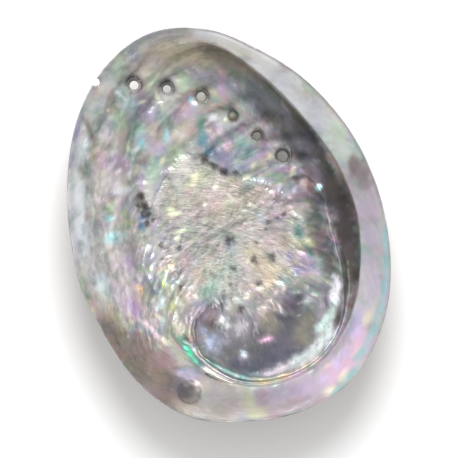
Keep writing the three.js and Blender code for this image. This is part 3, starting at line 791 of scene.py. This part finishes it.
for vert, value in zip(blank.verts, dabs):
    vert[layer] = value
print("layers:", *layers, *paths, "tint")

# %% The body as an object
for face in blank.faces:
    face.smooth = True
shell_mesh = bpy.data.meshes.new("abalone_nacre")
blank.to_mesh(shell_mesh)
blank.free()
shell = bpy.data.objects.new("abalone_nacre", shell_mesh)
bpy.context.scene.collection.objects.link(shell)

# %% [markdown]
# ## Pores and notch
# The pores are real holes, cut by a boolean, and the newest is still a notch in the margin. Each
# cutter is a waisted plug, wider at both ends, so that the rim it leaves is softened, as a
# polished pore's is. The fourth pore has grown shut, so it is only a dimple.


# %% The cutter
# height in mm from the middle of the wall, and width as a multiple of the pore's radius
PLUG_LEVELS = [(-30, 3.0), (-2.5, 1.5), (-1.0, 1.12), (0, 1.0), (1.0, 1.12), (2.5, 1.5), (30, 3.0)]
NOTCH_RADIUS = 1.4


def waisted_cutter(name, x_mm, y_mm, radius):
    """An upright plug, narrow at the wall and wider above and below."""
    (low, wide), *levels = PLUG_LEVELS
    plug = bmesh.new()
    bmesh.ops.create_circle(plug, cap_ends=False, segments=40, radius=wide * radius)
    bmesh.ops.translate(plug, verts=plug.verts, vec=(0, 0, low))
    first = ring = plug.edges[:]
    for height, width in levels:
        grown = bmesh.ops.extrude_edge_only(plug, edges=ring)["geom"]
        ring = [g for g in grown if isinstance(g, bmesh.types.BMEdge)]
        for vert in (g for g in grown if isinstance(g, bmesh.types.BMVert)):
            flat = Vector((vert.co.x, vert.co.y, 0)).normalized() * width * radius
            vert.co = Vector((flat.x, flat.y, height))
    bmesh.ops.contextual_create(plug, geom=first)
    bmesh.ops.contextual_create(plug, geom=ring)
    bmesh.ops.recalc_face_normals(plug, faces=plug.faces)
    near = np.argsort(np.hypot(x - x_mm, y - y_mm))[:60]
    wall_z = (formed[near, 2].max() + formed[near, 2].min()) / 2
    centre = Vector(((x_mm - shift[0]) * fit[0], (y_mm - shift[1]) * fit[1], wall_z))
    for vert in plug.verts:
        vert.co = (vert.co + centre) * MM
    mesh = bpy.data.meshes.new(name)
    plug.to_mesh(mesh)
    plug.free()
    cutter = bpy.data.objects.new(name, mesh)
    bpy.context.scene.collection.objects.link(cutter)
    return cutter


# %% Cutting the pores
cutters = [waisted_cutter(f"pore_{i}", *pore) for i, pore in enumerate(PORES)]
cutters.append(waisted_cutter("notch", *NOTCH, NOTCH_RADIUS))
for cutter in cutters:
    cut = shell.modifiers.new(cutter.name, "BOOLEAN")
    cut.object, cut.operation, cut.solver = cutter, "DIFFERENCE", "MANIFOLD"
bpy.context.view_layer.update()
cut_mesh = bpy.data.meshes.new_from_object(shell.evaluated_get(bpy.context.evaluated_depsgraph_get()))
shell.modifiers.clear()
shell.data = cut_mesh
for cutter in cutters:
    bpy.data.objects.remove(cutter)
for polygon in cut_mesh.polygons:
    polygon.use_smooth = True
print("shell:", len(cut_mesh.polygons), "faces, with", len(cutters), "openings")

# %% [markdown]
# ## Nacre
# Nacre is a stack of clear plates a few hundred nanometres thick, so its colour is a reflection
# that changes with the thickness and the tilt of the stack. Here one soft noise each for red,
# green and blue stands for the thickness. Added to a grey, they give pastel patches that drift
# into each other with no edges. The noises run along the growth lines, or round the hub on the
# wall. Small flecks are painted paler, as painted sparkles of light. A partly metallic shader
# under a thin clear coat tints the reflection with the same colours. The noises are one shared node
# group.


# %% Node helpers
def add(tree, kind, inputs=(), **settings):
    """Adds a node. inputs maps socket names or numbers to values or to other nodes' outputs."""
    node = tree.nodes.new("ShaderNode" + kind)
    for key, value in settings.items():
        setattr(node, key, value)
    for key, value in dict(inputs).items():
        if isinstance(value, bpy.types.NodeSocket):
            tree.links.new(value, node.inputs[key])
        else:
            node.inputs[key].default_value = value
    return node


def maths(tree, operation, a, b):
    return add(tree, "Math", {0: a, 1: b}, operation=operation).outputs[0]


def weighted(tree, *parts, plus=0.0):
    """The sum of (value, share) pairs, and of a constant."""
    total = plus
    for value, share in parts:
        total = maths(tree, "ADD", total, maths(tree, "MULTIPLY", value, share))
    return total


def spared(tree, mask, share=1.0, whole=1.0):
    """The whole, less a share where the mask is 1."""
    return maths(tree, "SUBTRACT", whole, maths(tree, "MULTIPLY", mask, share))


def blend(tree, factor, a, b, how="MIX"):
    node = add(tree, "Mix", {0: factor, 6: a, 7: b}, data_type="RGBA", blend_type=how)
    return node.outputs[2]


def scaled(tree, vector, scale):
    return add(tree, "VectorMath", {0: vector, 1: scale}, operation="MULTIPLY").outputs[0]


def soft_noise(tree, vector, scale, detail, roughness, distortion=0.0):
    """A noise's outputs: 0 is its grey value, 1 is three such values as a colour."""
    return add(tree, "TexNoise", {"Vector": vector, "Scale": scale, "Detail": detail,
                                  "Roughness": roughness, "Distortion": distortion}).outputs


def colour_ramp(tree, factor, stops):
    """stops are (position, hex colour or grey value) pairs."""
    node = add(tree, "ValToRGB", {0: factor})
    band = node.color_ramp
    while len(band.elements) < len(stops):
        band.elements.new(1.0)
    for element, (position, colour) in zip(band.elements, stops):
        element.position = position
        if isinstance(colour, str):
            element.color = (*[(c / 255) ** 2.2 for c in bytes.fromhex(colour)], 1)
        else:
            element.color = (colour, colour, colour, 1)
    return node.outputs[0]


# %% Growth streaks, a shared group
streaks = bpy.data.node_groups.new("growth streaks", "ShaderNodeTree")
for label in ("Flow", "Object", "Sweep"):
    streaks.interface.new_socket(label, in_out="INPUT", socket_type="NodeSocketVector")
for label in ("Cloud", "Lines", "Bands", "Rings", "Grain"):
    streaks.interface.new_socket(label, in_out="OUTPUT", socket_type="NodeSocketFloat")
for label in ("Cloud tones", "Line tones", "Band tones"):
    streaks.interface.new_socket(label, in_out="OUTPUT", socket_type="NodeSocketColor")
entry = streaks.nodes.new("NodeGroupInput").outputs
leave = streaks.nodes.new("NodeGroupOutput").inputs
cloud = soft_noise(streaks, entry["Object"], 100, 2, 0.45, 0.8)
lines = soft_noise(streaks, scaled(streaks, entry["Flow"], (1.7, 0.1, 1)), 1.3, 3, 0.55, 0.8)
bands = soft_noise(streaks, entry["Sweep"], 1.0, 4, 0.6, 0.5)
speck = soft_noise(streaks, entry["Object"], 420, 4, 0.7)
rings = soft_noise(streaks, scaled(streaks, entry["Flow"], (8.0, 0.03, 1)), 1.0, 5, 0.7, 0.12)
for label, source in (("Cloud", cloud), ("Lines", lines), ("Bands", bands), ("Rings", rings),
                      ("Grain", speck)):
    streaks.links.new(source[0], leave[label])
for label, source in (("Cloud tones", cloud), ("Line tones", lines), ("Band tones", bands)):
    streaks.links.new(source[1], leave[label])
print("group:", streaks.name, "with", len(leave) - 1, "outputs")

# %% The nacre material
nacre = bpy.data.materials.new("nacre")
nacre.use_nodes = True
tree = nacre.node_tree
shader = next(n for n in tree.nodes if n.type == "BSDF_PRINCIPLED")


def attribute(name, output="Fac"):
    return add(tree, "Attribute", attribute_name=name).outputs[output]


mask = {name: attribute(name) for name in layers}
streak = add(tree, "Group", node_tree=streaks, inputs={
    "Flow": attribute("flow", "Vector"),
    "Object": add(tree, "TexCoord").outputs["Object"],
    "Sweep": attribute("sweep", "Vector"),
}).outputs
cloud, lines, bands, rings, speck = (streak[k] for k in ("Cloud", "Lines", "Bands", "Rings", "Grain"))

# %% Pastel patches
# calmer on the shelf and in the hollow
GREY, PASTEL_DEPTH = (0.47, 0.465, 0.46, 1), 0.43
flowing = blend(tree, mask["wall"], lines, bands)
flow_tones = blend(tree, mask["wall"], streak["Line tones"], streak["Band tones"])
tones = blend(tree, 0.45, streak["Cloud tones"], flow_tones)
depth = spared(tree, mask["hollow"], 0.16, spared(tree, mask["shelf"], 0.17, PASTEL_DEPTH))
calm = blend(tree, depth, GREY, tones, "LINEAR_LIGHT")

# %% Bristles of the scar
bristles = scaled(tree, attribute("fibre", "Vector"), (1.0, 0.26, 1))
fibre = soft_noise(tree, bristles, 1.0, 5, 0.68, 1.2)[0]
scar_colour = colour_ramp(tree, weighted(tree, (fibre, 0.6), (speck, 0.4)), [
    (0.34, "7f7a74"), (0.44, "958f88"), (0.54, "a9a49c"), (0.68, "cfcac0")])
colour = blend(tree, maths(tree, "MULTIPLY", mask["scar"], 0.6), calm, scar_colour)

# %% Paint over the pastels
tint = add(tree, "Attribute", attribute_name="tint").outputs
# painted highlights take the tint more fully
tinted = blend(tree, weighted(tree, (mask["painted_highlight"], 0.16), plus=0.84), colour, tint["Color"])
colour = blend(tree, tint["Alpha"], colour, tinted)

# %% Light and dark plates
# painted light on the crests, which are lighter than the troughs, over a random tone; the shelf and the
# hollow are evener than the bank
value = weighted(tree, (speck, 0.42), (flowing, 0.52), (cloud, 0.46), (mask["painted_crest_light"], 0.3))
shade = colour_ramp(tree, value, [(0.52, 0.34), (0.72, 0.68), (0.9, 0.97), (1.0, 1.0)])
for name, share, grey in (("shelf", 0.75, 0.84), ("hollow", 0.6, 0.62)):
    shade = blend(tree, maths(tree, "MULTIPLY", mask[name], share), shade, (grey, grey, grey, 1))
shaded = blend(tree, 1.0, colour, shade, "MULTIPLY")

# %% Painted sparkles and painted highlights
# painted sparkles: pale flecks of light, fewer on the shelf, on the scar and on matt paint
painted_sparkle = weighted(tree, (blend(tree, mask["scar"], flowing, fibre), 0.62), (speck, 0.38))
painted_sparkle = colour_ramp(tree, painted_sparkle, [(0.575, 0.0), (0.66, 1.0)])
painted_sparkle = maths(tree, "MULTIPLY", painted_sparkle, spared(tree, mask["shelf"], 0.5, 0.55))
painted_sparkle = maths(tree, "MULTIPLY", painted_sparkle, spared(tree, mask["scar"], 0.3))
painted_sparkle = maths(tree, "MULTIPLY", painted_sparkle, spared(tree, mask["matt"]))
shaded = blend(tree, painted_sparkle, shaded, blend(tree, 0.35, (0.9, 0.89, 0.85, 1), tones))
# painted highlights: there the tint shines through without the shading, broken up by the grain
glint = weighted(tree, (speck, 0.6), (flowing, 0.4))
glint = colour_ramp(tree, glint, [(0.39, 0.6), (0.48, 0.93), (0.53, 1.0)])
colour = blend(tree, mask["painted_highlight"], shaded, blend(tree, 1.0, colour, glint, "MULTIPLY"))

# %% Painted shade and dark marks
# one dark colour for the painted shade in the gutter, the pore funnels and the curl's crease, and for the
# scar's marks and the pit
SHADE_AND_MARK_COLOUR = (0.034, 0.024, 0.02, 1)
colour = blend(tree, mask["dark"], colour, SHADE_AND_MARK_COLOUR)

# %% [markdown]
# ## The crust outside
# The outside of a shell that isn't ground has a dull brown crust in fine bands, one for each pause
# in growth, with patches of pink and green weed. It is rubbed through to the nacre at the spire.
# It is part of the same skin, so it is a mask in the same material: no metal, no coat, rougher.

# %% Crust
crust = colour_ramp(tree, weighted(tree, (rings, 0.75), (speck, 0.25)), [
    (0.3, "45362e"), (0.42, "6a5143"), (0.5, "7f6a56"),
    (0.58, "8f7f69"), (0.66, "a3937c"), (0.76, "c6bca8")])
mottle = colour_ramp(tree, cloud, [(0.34, "c49f8c"), (0.5, "f4ece2"), (0.66, "a8b598")])
crust = blend(tree, 0.75, crust, mottle, "MULTIPLY")
crust = blend(tree, mask["worn"], crust, calm)
colour = blend(tree, mask["back"], colour, crust)
tree.links.new(colour, shader.inputs["Base Color"])

# %% Gloss
NACRE_METAL, NACRE_COAT, COAT_ROUGHNESS = 0.4, 0.25, 0.12
rough = weighted(tree, (speck, 0.16), (mask["scar"], 0.1), (mask["matt"], 0.4), (mask["back"], 0.3),
                 plus=0.23)
tree.links.new(rough, shader.inputs["Roughness"])
polish = spared(tree, maths(tree, "MULTIPLY", mask["back"], spared(tree, mask["worn"])))
tree.links.new(maths(tree, "MULTIPLY", polish, NACRE_METAL), shader.inputs["Metallic"])
tree.links.new(maths(tree, "MULTIPLY", polish, NACRE_COAT), shader.inputs["Coat Weight"])
shader.inputs["Coat Roughness"].default_value = COAT_ROUGHNESS

# %% Fine relief
# bristles on the scar, brushed streaks elsewhere, an almost smooth shelf and a rugged crust
bristly = maths(tree, "MULTIPLY", fibre, mask["scar"])
height = weighted(tree, (flowing, 0.4), (speck, 0.35), (bristly, 0.6))
height = maths(tree, "MULTIPLY", height, spared(tree, mask["shelf"], 0.75))
rugged = weighted(tree, (rings, 1.1), (speck, 0.8))
height = weighted(tree, (height, spared(tree, mask["back"])), (rugged, mask["back"]))
bump = add(tree, "Bump", {"Height": height, "Strength": 0.6, "Distance": MM})
tree.links.new(bump.outputs[0], shader.inputs["Normal"])
print("nacre:", len(tree.nodes), "nodes")

# %% The shell wears the nacre
shell.data.materials.clear()
shell.data.materials.append(nacre)

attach(shell, "root")
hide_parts("abalone_shell")

# %% [markdown]
# ## Stage
# A white paper floor, a camera straight above, turned so that the shell leans a little to the
# left, and one soft round light from beyond its front. The room is brighter on that side and
# dimmer on the other, which gives the reflections a direction.

# %% Floor
FLOOR_SIZE = 2
floor_mesh = bmesh.new()
bmesh.ops.create_grid(floor_mesh, x_segments=1, y_segments=1, size=FLOOR_SIZE)
mesh = bpy.data.meshes.new("floor")
floor_mesh.to_mesh(mesh)
floor_mesh.free()
floor = bpy.data.objects.new("floor", mesh)
bpy.context.scene.collection.objects.link(floor)
paper = bpy.data.materials.new("paper")
paper.use_nodes = True
paper_shader = next(n for n in paper.node_tree.nodes if n.type == "BSDF_PRINCIPLED")
paper_shader.inputs["Base Color"].default_value = (0.93, 0.93, 0.93, 1)
paper_shader.inputs["Roughness"].default_value = 0.9
mesh.materials.append(paper)

# %% Camera
# far off and narrow, so that the rim and the floor are seen at nearly one scale
VIEW_UP = math.radians(69)
VIEW_WIDTH, VIEW_CENTRE = 168.8 * MM, (1.1, -0.7)
CAMERA_HEIGHT = 2.2
lens = bpy.data.cameras.new("camera")
lens.lens = lens.sensor_width * CAMERA_HEIGHT / VIEW_WIDTH
camera = bpy.data.objects.new("camera", lens)
camera.location = (*((VIEW_CENTRE - shift[:2]) * MM), cad_high.z + CAMERA_HEIGHT)
camera.rotation_euler = (0, 0, VIEW_UP - math.pi / 2)
bpy.context.scene.collection.objects.link(camera)
bpy.context.scene.camera = camera
print("lens:", round(lens.lens), "mm")

# %% Key light
up = Vector((math.cos(VIEW_UP), math.sin(VIEW_UP), 0))
right = Vector((up.y, -up.x, 0))
light = bpy.data.lights.new("key", "AREA")
light.shape, light.size, light.energy = "DISK", 0.42, 6.1
key = bpy.data.objects.new("key", light)
key_place = up * 0.45 + right * 0.02 + Vector((0, 0, 0.79))
key.location = key_place
key.rotation_euler = (-key_place).to_track_quat("-Z", "Y").to_euler()
bpy.context.scene.collection.objects.link(key)

# %% Room
world = bpy.data.worlds.new("room")
bpy.context.scene.world = world
world.use_nodes = True
room = world.node_tree
backdrop = next(n for n in room.nodes if n.type == "BACKGROUND")
gaze = add(room, "TexCoord").outputs["Generated"]
bright_way = up * 0.8 + Vector((0, 0, 0.25))
facing = add(room, "VectorMath", {0: gaze, 1: tuple(bright_way)}, operation="DOT_PRODUCT")
lit = add(room, "MapRange", {0: facing.outputs["Value"], 1: -0.7, 2: 0.8})
glow = colour_ramp(room, lit.outputs[0], [(0.0, 0.56), (0.35, 0.72), (0.7, 0.97), (1.0, 1.02)])
room.links.new(glow, backdrop.inputs["Color"])
backdrop.inputs["Strength"].default_value = 0.96
bpy.context.scene.view_settings.view_transform = "Standard"
